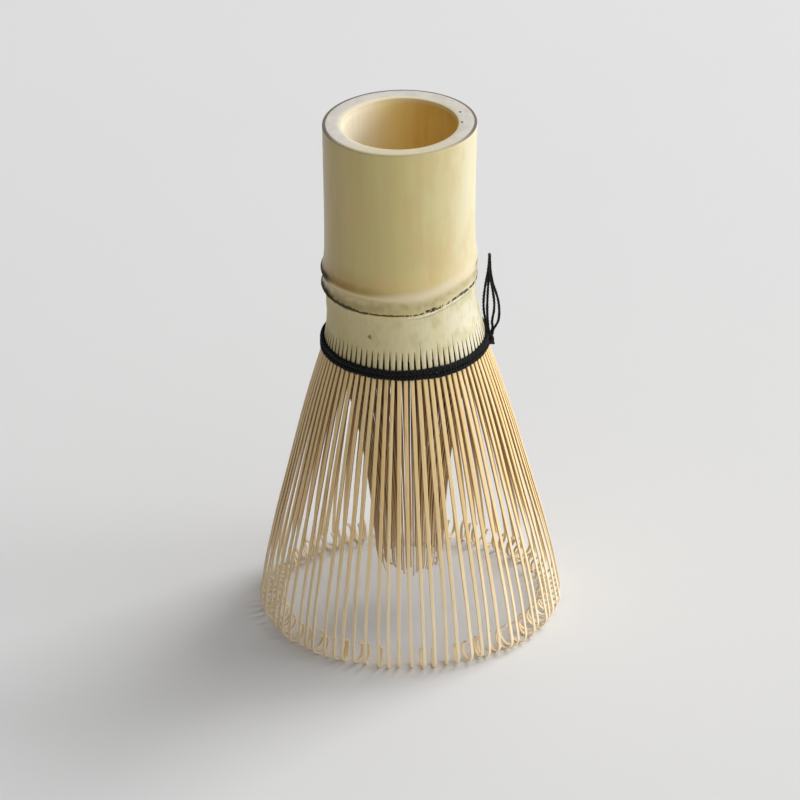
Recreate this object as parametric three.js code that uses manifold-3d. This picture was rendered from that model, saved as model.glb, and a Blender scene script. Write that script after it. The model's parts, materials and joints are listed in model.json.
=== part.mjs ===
// Bamboo tea whisk (chasen), 80-tine pattern, standing tines down on its curled tips.
// Millimetres, +Z up, origin on the ground under the centre of the handle.
// One bamboo culm is cut into a handle, sixteen outer and sixteen inner combs of tines, all held
// by a black thread that is wound round the roots, knotted on the +X side and left in two loops.
import * as THREE from "three";
import { mergeVertices } from "three/addons/utils/BufferGeometryUtils.js";
import Module from "manifold-3d";

// Driving dimensions
const HEIGHT = 105;
const HANDLE_R = 15;
const BORE_R = 11.4;
const NODE_Z = 72.5;
const NODE_LEAN = 0.6;
const SEPTUM = 2;
const HANDLE_FOOT_Z = 66.4;
const THREAD_Z = 58.5;
const SPREAD_R = 30;
const SECTORS = 16;
const TINES_PER_SECTOR = 5;
const GAP = 0.5;
const ROUND_SEGMENTS = 40;

const SECTOR_ANGLE = (2 * Math.PI) / SECTORS;
const TINE_ANGLE = SECTOR_ANGLE / TINES_PER_SECTOR;

const BAMBOO = { color: 0xdccb94, roughness: 0.5, metalness: 0 };
const SPLIT_BAMBOO = { color: 0xd9bd82, roughness: 0.6, metalness: 0 };
const THREAD = { color: 0x15151c, roughness: 0.85, metalness: 0 };

const wasm = await Module();
wasm.setup();

// Solids ---------------------------------------------------------------------------------------

function toSolid(geometry) {
  const bare = geometry.index ? geometry.toNonIndexed() : geometry.clone();
  bare.deleteAttribute("normal");
  bare.deleteAttribute("uv");
  const merged = mergeVertices(bare, 1e-4);
  return new wasm.Manifold(
    new wasm.Mesh({
      numProp: 3,
      vertProperties: merged.getAttribute("position").array,
      triVerts: new Uint32Array(merged.index.array),
    }),
  );
}

function toGeometry(solid) {
  const mesh = solid.getMesh();
  const geometry = new THREE.BufferGeometry();
  geometry.setAttribute("position", new THREE.BufferAttribute(mesh.vertProperties, 3));
  geometry.setIndex(new THREE.BufferAttribute(mesh.triVerts, 1));
  geometry.computeVertexNormals();
  return geometry;
}

function fuse(geometries) {
  return toGeometry(geometries.map(toSolid).reduce((all, next) => all.add(next)));
}

function named(name, geometry, finish) {
  const mesh = new THREE.Mesh(geometry, new THREE.MeshStandardMaterial(finish));
  mesh.name = name;
  return mesh;
}

// A ring or cup turned about Z from [radius, height] points.
function turned(profile, segments) {
  const points = profile.map(([r, z]) => new THREE.Vector2(r, z));
  return new THREE.LatheGeometry(points, segments).rotateX(Math.PI / 2);
}

// Handle ---------------------------------------------------------------------------------------

// The culm above the splits: bored down to the septum of its node, with the node's two ridges
// outside and a thinner collar below them. The node swells further on the -X side.
function culmHandle() {
  const septumTop = NODE_Z + SEPTUM / 2;
  const septumFoot = NODE_Z - SEPTUM / 2;
  const collarR = HANDLE_R - 0.3;
  const edge = 0.4;
  const handle = turned(
    [
      [0, septumFoot],
      [BORE_R, septumFoot - 0.4],
      [BORE_R + 0.3, HANDLE_FOOT_Z],
      [collarR, HANDLE_FOOT_Z],
      [collarR, NODE_Z - 3.8],
      [HANDLE_R - 0.1, NODE_Z - 2.4],
      [HANDLE_R + 0.3, NODE_Z - 1.6],
      [HANDLE_R, NODE_Z],
      [HANDLE_R + 0.3, NODE_Z + 1.7],
      [HANDLE_R - 0.15, NODE_Z + 3.6],
      [HANDLE_R - 0.3, NODE_Z + 8],
      [HANDLE_R - 0.3, NODE_Z + 14],
      [HANDLE_R, HEIGHT - edge],
      [HANDLE_R - edge, HEIGHT],
      [BORE_R + edge, HEIGHT],
      [BORE_R, HEIGHT - edge],
      [BORE_R - 0.2, septumTop + 2],
      [BORE_R - 1.2, septumTop],
      [0, septumTop],
    ],
    ROUND_SEGMENTS,
  );
  const position = handle.getAttribute("position");
  for (let i = 0; i < position.count; i++) {
    const x = position.getX(i);
    const outside = Math.hypot(x, position.getY(i)) > (BORE_R + HANDLE_R) / 2;
    const near = Math.exp(-(((position.getZ(i) - NODE_Z) / 4) ** 2));
    if (outside) position.setX(i, x - NODE_LEAN * near);
  }
  return handle;
}

// Tines ----------------------------------------------------------------------------------------

// A flat blade that follows a path in the radial plane. The path's points are {r, z, half}, with
// half the blade's thickness there, and widthAt(z) is its width across the radial plane.
function blade(path, widthAt) {
  const sides = [1, -1].map((side) =>
    path.map((point, i) => {
      const before = path[Math.max(i - 1, 0)];
      const after = path[Math.min(i + 1, path.length - 1)];
      const along = new THREE.Vector2(after.r - before.r, after.z - before.z).normalize();
      const reach = side * point.half;
      return new THREE.Vector2(point.r + reach * along.y, point.z - reach * along.x);
    }),
  );
  const outline = new THREE.Shape([...sides[0], ...sides[1].reverse()]);
  const geometry = new THREE.ExtrudeGeometry(outline, { depth: 1, bevelEnabled: false });
  geometry.translate(0, 0, -0.5).rotateX(Math.PI / 2);
  const position = geometry.getAttribute("position");
  for (let i = 0; i < position.count; i++)
    position.setY(i, position.getY(i) * widthAt(position.getZ(i)));
  return geometry;
}

// An outer tine: a springy strip that spreads outwards and ends in a curl turned in to the axis.
const CURL_R = 2.38;
const CURL_HALF = 0.12;
const CURL_STEPS = 6;
const CURL_STEP_ANGLE = Math.PI / 4;
const CURL_CENTRE_R = SPREAD_R - CURL_R - CURL_HALF;
const CURL_CENTRE_Z = CURL_R + CURL_HALF;
const OUTER_TINE = [
  { r: 14.42, z: 64.4, half: 0.3 },
  { r: 15.0, z: THREAD_Z, half: 0.32 },
  { r: 18.65, z: 48, half: 0.25 },
  { r: 24.2, z: 28, half: 0.18 },
  { r: 29.15, z: 8, half: 0.14 },
];

function outerTinePath() {
  const curl = Array.from({ length: CURL_STEPS + 1 }, (_, i) => {
    const angle = -i * CURL_STEP_ANGLE;
    const radius = CURL_R - 0.08 * Math.max(i - 2, 0);
    return {
      r: CURL_CENTRE_R + radius * Math.cos(angle),
      z: CURL_CENTRE_Z + radius * Math.sin(angle),
      half: CURL_HALF,
    };
  });
  return [...OUTER_TINE, ...curl];
}

function outerTineWidth(z) {
  return THREE.MathUtils.mapLinear(z, 0, HANDLE_FOOT_Z, 0.6, 0.85);
}

// An inner tine: thinner, straight-tipped, and pressed in to the axis by the thread.
const INNER_TINE = [
  { r: 12.5, z: 64.4, half: 0.2 },
  { r: 12.45, z: THREAD_Z, half: 0.2 },
  { r: 10.9, z: 48, half: 0.17 },
  { r: 7.8, z: 30, half: 0.15 },
  { r: 5.9, z: 8, half: 0.12 },
];

function innerTineWidth(z) {
  return THREE.MathUtils.mapLinear(z, 0, HANDLE_FOOT_Z, 0.26, 0.5);
}

// The unsplit arc that the tines of one sector grow from, just under the handle.
function rootArc(innerR, outerR) {
  const footZ = 63.4;
  const half = (radius) => SECTOR_ANGLE / 2 - GAP / 2 / radius;
  const outline = new THREE.Shape();
  outline.absarc(0, 0, outerR, -half(outerR), half(outerR), false);
  outline.absarc(0, 0, innerR, half(innerR), -half(innerR), true);
  const depth = HANDLE_FOOT_Z - GAP - footZ;
  const arc = new THREE.ExtrudeGeometry(outline, { depth, bevelEnabled: false, curveSegments: 3 });
  return arc.translate(0, 0, footZ);
}

// One sector is a comb of five tines on its root arc, turned to its place round the culm.
function sectorComb(path, widthAt, arc, angle) {
  const middle = (TINES_PER_SECTOR - 1) / 2;
  const tines = Array.from({ length: TINES_PER_SECTOR }, (_, i) =>
    blade(path, widthAt).rotateZ((i - middle) * TINE_ANGLE),
  );
  return fuse([arc, ...tines]).rotateZ(angle);
}

function combs(prefix, path, widthAt, arc) {
  return Array.from({ length: SECTORS }, (_, i) => {
    const name = prefix + String(i + 1).padStart(2, "0");
    return named(name, sectorComb(path, widthAt, arc, i * SECTOR_ANGLE), SPLIT_BAMBOO);
  });
}

// Thread ---------------------------------------------------------------------------------------

const WRAP_R = 0.38;
const WRAP_OUTER_R = HANDLE_R + 1.12;

// One turn of thread round the whisk.
function threadWrap(ringR, z) {
  const sides = 6;
  const section = Array.from({ length: sides + 1 }, (_, i) => {
    const angle = ((i % sides) / sides) * 2 * Math.PI;
    return [ringR + WRAP_R * Math.cos(angle), z + WRAP_R * Math.sin(angle)];
  });
  return turned(section, ROUND_SEGMENTS);
}

// The flattened knot on the +X side of the wraps, with the thread's short cut end below it.
function threadKnot() {
  const x = WRAP_OUTER_R + WRAP_R + 0.3 + 0.5;
  const knot = new THREE.SphereGeometry(1, 10, 7).scale(0.5, 1.2, 1.4);
  const end = new THREE.CylinderGeometry(0.28, 0.28, 1.4, 6).rotateX(Math.PI / 2);
  end.rotateY(-0.35).translate(0.15, 0.4, -1.3);
  return fuse([knot, end]).translate(x, 0, THREAD_Z - 0.3);
}

// The two free loops of thread that stand up from the knot beside the handle.
const LOOP_D = 0.55;
const LOOP_ROUTES = {
  thread_loop_1: [
    [16.4, -0.7, 60.15],
    [16.3, -0.75, 61.3],
    [16.22, -0.75, 62.7],
    [16.2, -0.7, 64.3],
    [16.25, -0.65, 66.1],
    [16.35, -0.6, 68.0],
    [16.5, -0.55, 70.0],
    [16.65, -0.5, 72.0],
    [16.78, -0.47, 73.4],
    [16.83, -0.43, 74.5],
    [16.85, -0.1, 75.35],
    [16.85, 0.75, 75.7],
    [16.85, 1.6, 75.35],
    [16.82, 1.95, 74.5],
    [16.73, 1.95, 73.3],
    [16.55, 1.9, 71.8],
    [16.2, 1.85, 70.0],
    [15.9, 1.9, 68.2],
    [15.66, 1.95, 66.4],
    [15.54, 1.95, 64.7],
    [15.58, 1.75, 63.1],
    [15.8, 1.25, 61.6],
    [16.3, 0.4, 60.15],
  ],
  thread_loop_2: [
    [17.2, 0.7, 60.15],
    [17.1, 0.2, 61.3],
    [17.25, -0.35, 62.7],
    [17.5, -0.75, 64.2],
    [17.6, -0.95, 65.8],
    [17.5, -1.05, 67.5],
    [17.25, -1.1, 69.4],
    [17.0, -1.15, 71.4],
    [16.9, -1.2, 73.4],
    [16.88, -1.22, 74.9],
    [16.88, -1.22, 75.98],
    [16.88, -1.57, 76.83],
    [16.88, -2.42, 77.18],
    [16.88, -3.27, 76.83],
    [16.88, -3.62, 75.98],
    [16.93, -3.6, 74.8],
    [17.05, -3.45, 73.4],
    [17.35, -3.15, 71.5],
    [17.85, -2.85, 69.6],
    [18.3, -2.6, 67.7],
    [18.5, -2.35, 65.9],
    [18.5, -1.95, 64.0],
    [18.25, -1.35, 62.2],
    [17.8, -0.7, 61.0],
    [17.4, -0.3, 60.15],
  ],
};

function threadLoop(route) {
  const points = route.map((point) => new THREE.Vector3(...point));
  const outline = new THREE.Shape();
  const sides = 8;
  for (let i = 0; i < sides; i++) {
    const angle = (i / sides) * 2 * Math.PI;
    const corner = [(LOOP_D / 2) * Math.cos(angle), (LOOP_D / 2) * Math.sin(angle)];
    if (i) outline.lineTo(...corner);
    else outline.moveTo(...corner);
  }
  const extrudePath = new THREE.CatmullRomCurve3(points);
  return new THREE.ExtrudeGeometry(outline, { extrudePath, steps: 24, bevelEnabled: false });
}

// The whisk ------------------------------------------------------------------------------------

const whisk = new THREE.Group();
whisk.add(named("culm_handle", culmHandle(), BAMBOO));
whisk.add(...combs("outer_tines_", outerTinePath(), outerTineWidth, rootArc(13.9, 14.9)));
whisk.add(...combs("inner_tines_", INNER_TINE, innerTineWidth, rootArc(12, 13)));
whisk.add(named("thread_wrap_upper", threadWrap(WRAP_OUTER_R, THREAD_Z + 0.55), THREAD));
whisk.add(named("thread_wrap_lower", threadWrap(WRAP_OUTER_R + 0.06, THREAD_Z - 0.55), THREAD));
whisk.add(named("thread_wrap_inner", threadWrap(HANDLE_R - 1, THREAD_Z), THREAD));
whisk.add(named("thread_knot", threadKnot(), THREAD));
for (const [name, route] of Object.entries(LOOP_ROUTES))
  whisk.add(named(name, threadLoop(route), THREAD));

export default whisk;
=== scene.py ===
import json
import math
import random

import bmesh
import bpy
import numpy as np
from mathutils import Matrix, Vector


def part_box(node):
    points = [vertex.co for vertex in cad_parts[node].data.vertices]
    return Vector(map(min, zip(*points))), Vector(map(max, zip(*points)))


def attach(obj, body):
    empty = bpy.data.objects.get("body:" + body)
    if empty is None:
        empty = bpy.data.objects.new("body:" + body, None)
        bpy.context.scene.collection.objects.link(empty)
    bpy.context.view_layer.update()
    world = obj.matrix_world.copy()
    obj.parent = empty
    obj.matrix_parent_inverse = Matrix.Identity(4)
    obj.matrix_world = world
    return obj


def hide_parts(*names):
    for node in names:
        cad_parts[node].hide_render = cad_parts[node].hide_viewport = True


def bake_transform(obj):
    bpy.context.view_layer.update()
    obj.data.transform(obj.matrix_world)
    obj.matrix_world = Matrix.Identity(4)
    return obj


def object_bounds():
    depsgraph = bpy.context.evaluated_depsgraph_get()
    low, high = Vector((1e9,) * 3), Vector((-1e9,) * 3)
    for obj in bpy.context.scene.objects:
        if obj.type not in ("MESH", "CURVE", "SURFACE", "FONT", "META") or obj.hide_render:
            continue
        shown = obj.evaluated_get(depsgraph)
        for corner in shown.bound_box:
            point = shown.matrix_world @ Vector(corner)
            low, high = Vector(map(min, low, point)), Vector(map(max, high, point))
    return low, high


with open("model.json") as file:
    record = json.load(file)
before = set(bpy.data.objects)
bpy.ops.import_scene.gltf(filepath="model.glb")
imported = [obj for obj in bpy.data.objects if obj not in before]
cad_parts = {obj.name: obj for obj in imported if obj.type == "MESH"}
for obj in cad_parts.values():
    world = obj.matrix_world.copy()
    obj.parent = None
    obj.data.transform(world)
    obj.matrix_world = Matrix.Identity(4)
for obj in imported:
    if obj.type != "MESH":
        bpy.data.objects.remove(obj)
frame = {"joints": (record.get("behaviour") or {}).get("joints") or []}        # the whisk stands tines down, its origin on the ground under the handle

# Sizes are in millimetres and become metres when a mesh is made.
MM = 0.001
cad_low, cad_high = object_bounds()
joints = {joint["name"]: joint for joint in frame["joints"]}

TOP_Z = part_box("culm_handle")[1].z / MM
THREAD_Z = joints["outer_flex_01"]["pos_m"][2] / MM
SPREAD_R = cad_high.x / MM
CULM_R = 14.9
BORE_R = 11.4
NODE_Z = 72.5
SEPTUM_Z = NODE_Z + 1.0
CROTCH_Z = 63.0

# The node's rings are this much higher on the right, between these two distances from the axis.
NODE_RISE = 1.8
RISE_FROM, RISE_TO = 2.0, 13.0

SECTORS = 16
TINES_PER_SECTOR = 5
TINES = SECTORS * TINES_PER_SECTOR
PITCH = 2 * math.pi / TINES
# An outer root's half width where it leaves the culm, as a share of the pitch.
OUTER_SHARE = 0.46

SCENE = bpy.context.scene


# Lines and meshes ------------------------------------------------------------------------------

def smooth_line(points, steps):
    """A centripetal Catmull-Rom curve through the points, with that many steps to each gap."""
    points = np.asarray(points, float)
    first = 2 * points[0] - points[1]
    last = 2 * points[-1] - points[-2]
    p = np.vstack([first, points, last])
    knot = np.concatenate([[0], np.cumsum(np.sqrt(np.linalg.norm(np.diff(p, axis=0), axis=1)))])
    runs = []
    for i in range(1, len(p) - 2):
        t0, t1, t2, t3 = knot[i - 1:i + 3]
        t = np.linspace(t1, t2, steps, endpoint=False)[:, None]
        a1 = ((t1 - t) * p[i - 1] + (t - t0) * p[i]) / (t1 - t0)
        a2 = ((t2 - t) * p[i] + (t - t1) * p[i + 1]) / (t2 - t1)
        a3 = ((t3 - t) * p[i + 1] + (t - t2) * p[i + 2]) / (t3 - t2)
        b1 = ((t2 - t) * a1 + (t - t0) * a2) / (t2 - t0)
        b2 = ((t3 - t) * a2 + (t - t1) * a3) / (t3 - t1)
        runs.append(((t2 - t) * b1 + (t - t1) * b2) / (t2 - t1))
    return np.vstack([*runs, points[-1:]])


def unit(vectors):
    return vectors / np.linalg.norm(vectors, axis=-1, keepdims=True)


def tangents(line):
    return unit(np.gradient(line, axis=0))


def arc_lengths(line):
    return np.concatenate([[0], np.cumsum(np.linalg.norm(np.diff(line, axis=0), axis=1))])


def ripple(angle, seed, counts):
    """A smooth random wave round the circle, about -1 to 1, made of the given wave counts."""
    phases = random.Random(seed)
    waves = [np.sin(count * angle + phases.uniform(0, 2 * math.pi)) for count in counts]
    return sum(waves) / math.sqrt(len(counts))


class Skin:
    """What makes one mesh: points with their grain, and faces with their material slot."""

    def __init__(self):
        self.points, self.grain, self.faces, self.slots = [], [], [], []

    def add(self, points, grain=None):
        """Adds a row of points, with their places in the wood, and returns their indexes."""
        start = len(self.points)
        self.points.extend(points)
        self.grain.extend(points if grain is None else grain)
        return list(range(start, len(self.points)))

    def band(self, upper, lower, slot=0, closed=False):
        """Quads between two rows of indexes."""
        count = len(upper) if closed else len(upper) - 1
        for i in range(count):
            j = (i + 1) % len(upper)
            self.faces.append((upper[i], upper[j], lower[j], lower[i]))
            self.slots.append(slot)

    def face(self, indexes, slot=0):
        self.faces.append(tuple(indexes))
        self.slots.append(slot)

    def bar(self, rings, grain=None):
        """A closed bar through rings of points, an array of (stations, corners, 3)."""
        grain = rings if grain is None else grain
        rows = [self.add(points, place) for points, place in zip(rings, grain)]
        for upper, lower in zip(rows, rows[1:]):
            self.band(upper, lower, closed=True)
        self.face(rows[0])
        self.face(rows[-1])

    def piece(self, name, materials, sharp_degrees=40):
        """The mesh object, in metres, with its faces turned outwards."""
        mesh = bpy.data.meshes.new(name)
        mesh.from_pydata((np.array(self.points) * MM).tolist(), [], self.faces)
        for material in materials:
            mesh.materials.append(material)
        mesh.polygons.foreach_set("material_index", self.slots)
        attribute = mesh.attributes.new("grain", "FLOAT_VECTOR", "POINT")
        attribute.data.foreach_set("vector", np.array(self.grain, np.float32).ravel())
        made = bpy.data.objects.new(name, mesh)
        SCENE.collection.objects.link(made)
        face_outwards(mesh)
        mesh.shade_smooth()
        mesh.set_sharp_from_angle(angle=math.radians(sharp_degrees))
        return made


def face_outwards(mesh):
    work = bmesh.new()
    work.from_mesh(mesh)
    bmesh.ops.recalc_face_normals(work, faces=work.faces)
    work.to_mesh(mesh)
    work.free()


# Shader nodes ----------------------------------------------------------------------------------

def srgb(code):
    """The linear colour of a hex code such as "d9cc9a"."""
    shares = [int(code[i:i + 2], 16) / 255 for i in (0, 2, 4)]
    return [*((c / 12.92 if c <= 0.04045 else ((c + 0.055) / 1.055) ** 2.4) for c in shares), 1]


class Shader:
    """A material's node tree. Each method adds one node and returns its output socket."""

    def __init__(self, name, **values):
        self.material = bpy.data.materials.new(name)
        self.material.use_nodes = True
        self.tree = self.material.node_tree
        self.principled = self.tree.nodes["Principled BSDF"]
        for socket, value in values.items():
            self.principled.inputs[socket.replace("_", " ")].default_value = value

    def node(self, kind, inputs, output=0, **settings):
        made = self.tree.nodes.new(kind)
        for name, value in settings.items():
            setattr(made, name, value)
        for name, value in inputs.items():
            self.feed(made.inputs[name], value)
        return made.outputs[output]

    def feed(self, socket, value):
        if isinstance(value, bpy.types.NodeSocket):
            self.tree.links.new(value, socket)
        else:
            socket.default_value = value

    def place(self):
        """Place on the object at rest, in millimetres."""
        position = self.node("ShaderNodeTexCoord", {}, "Object")
        return self.scaled(position, (1000, 1000, 1000))

    def grain(self):
        """Place within the wood, as the mesh holds it for each point."""
        return self.node("ShaderNodeAttribute", {}, "Vector", attribute_name="grain")

    def scaled(self, vector, scale):
        return self.node("ShaderNodeVectorMath", {0: vector, 1: scale}, operation="MULTIPLY")

    def split(self, vector):
        """The x, y and z of a vector."""
        made = self.tree.nodes.new("ShaderNodeSeparateXYZ")
        self.feed(made.inputs[0], vector)
        return made.outputs

    def noise(self, vector, scale=1.0, detail=3.0, roughness=0.55):
        inputs = {"Vector": vector, "Scale": scale, "Detail": detail, "Roughness": roughness}
        return self.node("ShaderNodeTexNoise", inputs, "Fac")

    def math(self, operation, a, b=0.0, clamp=False):
        return self.node("ShaderNodeMath", {0: a, 1: b}, operation=operation, use_clamp=clamp)

    def ramp(self, value, low, high, to_low=0.0, to_high=1.0):
        """A smooth step from to_low to to_high as value goes from low to high."""
        inputs = {
            "Value": value, "From Min": low, "From Max": high, "To Min": to_low, "To Max": to_high,
        }
        return self.node("ShaderNodeMapRange", inputs, interpolation_type="SMOOTHSTEP")

    def bump_of(self, value, middle, width):
        """1 where value is at the middle, falling to 0 that far to each side."""
        away = self.math("ABSOLUTE", self.math("SUBTRACT", value, middle))
        return self.ramp(away, 0.0, width, 1.0, 0.0)

    def mix(self, share, a, b):
        """The colour a, with that share of the colour b mixed in."""
        return self.node("ShaderNodeMix", {"Factor": share, 6: a, 7: b}, 2, data_type="RGBA")

    def tint(self, colour, share, code):
        """The colour, with that share of a hex code's colour mixed in."""
        return self.mix(share, colour, srgb(code))

    def times(self, *shares):
        """The product of the shares."""
        product = shares[0]
        for share in shares[1:]:
            product = self.math("MULTIPLY", product, share)
        return product

    def finish(self, colour, roughness=None, height=None, depth_mm=0.02, strength=0.5):
        """The material in that colour. Where they are given, roughness and bump vary too."""
        self.feed(self.principled.inputs["Base Color"], colour)
        if roughness is not None:
            self.feed(self.principled.inputs["Roughness"], roughness)
        if height is not None:
            inputs = {"Height": height, "Distance": depth_mm * MM, "Strength": strength}
            self.feed(self.principled.inputs["Normal"], self.node("ShaderNodeBump", inputs))
        return self.material


# Heights on the node: the crest of its upper ridge, and where the pared collar starts.
CREST_Z = NODE_Z + 1.8
COLLAR_TOP_Z = NODE_Z - 2.35

WAXY_ROUGHNESS = 0.34
PARED_ROUGHNESS = 0.6


def bamboo_skin():
    """The culm's outside: smooth waxy skin above the node, pared and paler below it."""
    s = Shader("bamboo_skin", IOR=1.45, Coat_Weight=0.05, Coat_Roughness=0.45, Sheen_Weight=0.05)
    place = s.place()
    x, y, z = s.split(place)
    z = node_height(s, x, z)
    wide = s.noise(s.scaled(place, (0.2, 0.2, 0.015)), 1.0, 2.0)
    # side runs from left to right; the painted shade and highlight on the skin follow it
    side = s.math("ADD", x, s.ramp(wide, 0.3, 0.7, -2.5, 2.5))
    fine = s.noise(s.scaled(place, (3.0, 3.0, 0.06)), 1.0, 4.0, 0.65)
    mottle = s.noise(s.scaled(place, (0.7, 0.7, 0.5)), 1.0, 4.0, 0.6)
    below = s.ramp(z, COLLAR_TOP_Z - 0.25, COLLAR_TOP_Z + 0.25, 1.0, 0.0)
    waxy = waxy_skin(s, place, side, fine)
    pared = pared_skin(s, place, side, fine, mottle)
    colour = s.mix(below, waxy, pared)
    colour = node_stain(s, colour, place, x, y, z)
    colour = ridge_colours_and_highlight(s, colour, place, x, z)

    lower = sheath_scar(s, place, x, z)
    upper = upper_scar(s, place, x, y, z)
    colour = s.tint(colour, lower, "20160b")
    colour = s.tint(colour, upper, "2a1c12")
    colour = collar_edge(s, colour, place, x, z, mottle)
    for spot in SPOTS:
        colour = s.tint(colour, spot_mask(s, place, spot), spot["colour"])

    rough = s.math("MULTIPLY", below, PARED_ROUGHNESS - WAXY_ROUGHNESS)
    rough = s.math("ADD", rough, s.ramp(fine, 0.3, 0.8, WAXY_ROUGHNESS - 0.05, WAXY_ROUGHNESS + 0.1))
    rough = s.math("MAXIMUM", rough, s.math("MAXIMUM", lower, upper))
    relief = s.math("ADD", fine, s.times(s.ramp(mottle, 0.5, 0.7), below, 0.4))
    return s.finish(colour, rough, relief, strength=0.6)


def node_height(s, x, z):
    """Height, less the rise of the node's rings on the right."""
    return s.math("SUBTRACT", z, s.ramp(x, RISE_FROM, RISE_TO, 0.0, NODE_RISE))


def waxy_skin(s, place, side, fine):
    """Straw yellow with warm clouds and streaks; tan on the left and cream on the right are painted
    shade and painted highlight, following the light from the right.
    """
    cloud = s.noise(s.scaled(place, (0.14, 0.14, 0.08)), 1.0, 3.0)
    # painted shade and highlight: tan towards the shaded left, cream towards the lit right
    skin = s.mix(s.ramp(side, -16.0, 0.0), srgb("c9b372"), srgb("dacb88"))
    skin = s.tint(skin, s.ramp(side, 0.0, 15.0), "eae1bb")
    skin = s.tint(skin, s.ramp(cloud, 0.45, 0.68, 0.0, 0.45), "dcbb80")
    return s.tint(skin, s.ramp(fine, 0.4, 0.8, 0.0, 0.12), "b9a265")


def pared_skin(s, place, side, fine, mottle):
    """Paler and duller, with fibres, brown mottles and greenish patches; darker on the left and cream
    on the right as painted shade and painted highlight.
    """
    patches = s.noise(s.scaled(place, (0.32, 0.32, 0.26)), 1.0, 3.0)
    # painted shade and highlight: darker towards the shaded left, cream towards the lit right
    pared = s.mix(s.ramp(side, -16.0, 4.0), srgb("d8c690"), srgb("e6daac"))
    pared = s.tint(pared, s.ramp(side, 2.0, 13.0), "ece5c8")
    pared = s.tint(pared, s.ramp(fine, 0.45, 0.8, 0.0, 0.25), "bfa870")
    pared = s.tint(pared, s.ramp(mottle, 0.5, 0.75, 0.0, 0.35), "cdb987")
    return s.tint(pared, s.ramp(patches, 0.47, 0.68, 0.0, 0.5), "c9c187")


def node_stain(s, colour, place, x, y, z):
    """The brown stain over the node, strongest on the front left, and the amber beside it."""
    left = s.ramp(s.math("ADD", x, s.math("MULTIPLY", y, 0.3)), -15.5, -6.0, 1.0, 0.12)
    patch = s.ramp(s.noise(s.scaled(place, (0.3, 0.3, 0.2)), 1.0, 3.0), 0.3, 0.7, 0.6, 1.0)
    stain = s.bump_of(z, CREST_Z + 1.4, 4.2)
    amber = s.times(s.bump_of(z, CREST_Z + 2.4, 4.5), s.bump_of(x, 2.0, 12.0))
    burnt = s.bump_of(z, CREST_Z + 1.1, 1.3)
    colour = s.tint(colour, s.times(stain, patch, left, 0.55), "c0923f")
    colour = s.tint(colour, s.times(amber, patch, 0.45), "f3cf8c")
    return s.tint(colour, s.times(burnt, patch, left, 0.45), "8c5f22")


def ridge_colours_and_highlight(s, colour, place, x, z):
    """The greyish band between the two ridges, and a painted highlight along the top of the upper
    ridge, broader and stronger on the lit right.
    """
    blotch = s.noise(s.scaled(place, (0.6, 0.6, 0.5)), 1.0, 4.0)
    grey = s.mix(s.ramp(blotch, 0.4, 0.65), srgb("cfc090"), srgb("b7a679"))
    colour = s.mix(s.times(s.bump_of(z, NODE_Z - 0.1, 1.9), 0.85), colour, grey)
    # painted highlight along the upper ridge, wider and stronger towards the right
    crest_z = s.ramp(x, -8.0, 6.0, CREST_Z, CREST_Z + 0.3)
    crest = s.bump_of(z, crest_z, s.ramp(x, -10.0, 5.0, 0.6, 1.9))
    return s.tint(colour, s.times(crest, s.ramp(x, -14.0, 3.0, 0.4, 0.95)), "efdfba")


def collar_edge(s, colour, place, x, z, mottle):
    """Painted shade in the crease, and the pale chips, where the paring of the collar starts."""
    # painted shade: a brownish dark line in the crease just below the paring step, mostly on the right
    crease = s.times(s.bump_of(z, COLLAR_TOP_Z - 0.5, 0.28), s.ramp(mottle, 0.35, 0.6))
    colour = s.tint(colour, s.times(crease, s.ramp(x, -6.0, 4.0), 0.5), "8d7645")
    chipped = s.ramp(s.noise(s.scaled(place, (1.8, 1.8, 1.8)), 1.0, 2.0), 0.46, 0.56)
    chips = s.times(s.bump_of(z, COLLAR_TOP_Z - 0.05, 0.45), chipped)
    return s.tint(colour, s.times(chips, s.ramp(x, -3.0, 3.0)), "fbf3da")


def line_mask(s, z, line_z, thick, core):
    """1 within that core share of a line's thickness to each side of it, and 0 past it."""
    away = s.math("ABSOLUTE", s.math("SUBTRACT", z, line_z))
    return s.ramp(s.math("DIVIDE", away, thick), core, 1.0, 1.0, 0.0)


def sheath_scar(s, place, x, z):
    """The dark line under the lower ridge: thick on the left, in dots and dashes on the right."""
    wander = s.noise(s.scaled(place, (0.35, 0.35, 0.0)), 1.0, 2.0)
    lumps = s.noise(s.scaled(place, (0.9, 0.9, 0.0)), 1.0, 3.0)
    dots = s.noise(s.scaled(place, (1.3, 1.3, 0.6)), 1.0, 3.0)
    scar_z = s.ramp(x, -16.5, -12.0, NODE_Z - 1.55, NODE_Z - 2.0)
    scar_z = s.math("ADD", scar_z, s.math("MULTIPLY", wander, 0.5))
    thick = s.math("ADD", s.ramp(x, -16.0, -3.0, 1.15, 0.34), s.ramp(x, 3.0, 12.0, 0.0, 0.2))
    thick = s.math("MULTIPLY", thick, s.ramp(lumps, 0.35, 0.65, 0.75, 1.15))
    whole = s.math("ADD", s.ramp(x, -14.0, 5.0, 0.3, 0.02), s.ramp(x, 8.0, 11.5, 0.0, 0.09))
    broken = s.ramp(s.math("ADD", dots, whole), 0.46, 0.56)
    return s.times(line_mask(s, z, scar_z, thick, 0.3), broken, 0.95)


def upper_scar(s, place, x, y, z):
    """The dark line on the upper ridge, which the front of the node doesn't have."""
    wander = s.noise(s.scaled(place, (0.25, 0.25, 0.0)), 1.0, 2.0)
    scar_z = s.math("ADD", s.ramp(x, -15.5, -11.0, NODE_Z + 1.55, NODE_Z + 0.95), wander)
    thick = s.ramp(x, -15.5, -11.0, 1.2, 0.6)
    behind = s.ramp(s.math("ADD", y, s.ramp(x, -14.0, -8.0, 3.5, 0.0)), -5.0, -1.5)
    return s.times(line_mask(s, z, scar_z, thick, 0.25), behind, 0.9)


def on_culm(degrees, z, radius=15.2):
    """A place at that angle round the axis, from +X towards +Y."""
    angle = math.radians(degrees)
    return (radius * math.cos(angle), radius * math.sin(angle), z)


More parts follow.
